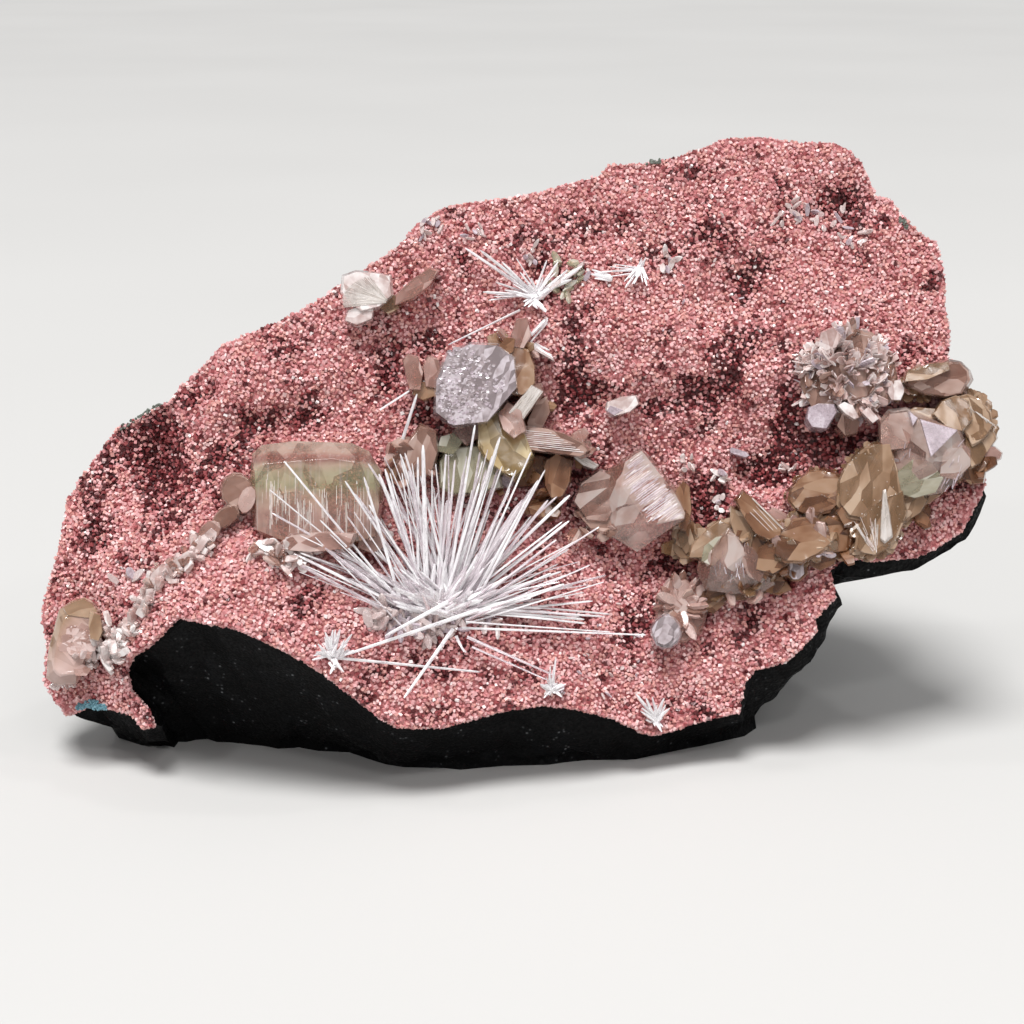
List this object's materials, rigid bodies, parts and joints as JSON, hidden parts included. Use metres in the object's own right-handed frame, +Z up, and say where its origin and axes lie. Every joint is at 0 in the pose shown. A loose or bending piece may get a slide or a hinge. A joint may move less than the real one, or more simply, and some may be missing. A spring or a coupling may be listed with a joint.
{
  "type": "scolecite specimen",
  "caption": "Broken slab of dark rock that stands on a flat break, its leaning face covered in a pink crystal druse with white needle sprays and grown-together blocks and blades.",
  "frame": {"origin": "centre of the bounding box at its lowest plane, the flat break that the specimen rests on", "axes": "+Z up; +X to the viewer's right along the length of the crystal face; -Y to the viewer, the side that the crystal face leans back from"},
  "size_m": [0.1556, 0.0818, 0.0969],
  "materials": {
    "basalt": "fine-grained black rock, matt with a faint sheen on fresh breaks",
    "heulandite_druse": "pink crust of sparkling sub-millimetre crystals, darker red in its hollows",
    "scolecite": "white silky needles, translucent at the tips",
    "apophyllite": "colourless to pale green glassy blocks, striated sides and pearly ends",
    "stilbite": "peach to tan translucent blades with a pearly lustre",
    "heulandite_blades": "colourless glassy blades with pearly faces"
  },
  "bodies": {
    "root": {"basalt_matrix": "basalt", "druse_crust": "heulandite_druse", "stilbite_left_crystal": "stilbite", "heulandite_trail": "heulandite_blades", "stilbite_left_discs": "stilbite", "apophyllite_green_block": "apophyllite", "stilbite_pair": "stilbite", "centre_crystals": "apophyllite", "apophyllite_striated": "apophyllite", "chain_left": "stilbite", "heulandite_rosette": "heulandite_blades", "chain_right": "stilbite", "stilbite_edge_wedge": "stilbite", "stilbite_fan": "stilbite", "glassy_chip": "heulandite_blades", "white_chip": "heulandite_blades", "scolecite_spray_main": "scolecite", "scolecite_spray_left": "scolecite", "scolecite_spray_top": "scolecite", "scolecite_spray_small": "scolecite", "scolecite_tuft_lower": "scolecite", "scolecite_tuft_right": "scolecite", "scolecite_long_needle": "scolecite"}
  },
  "joints": []
}
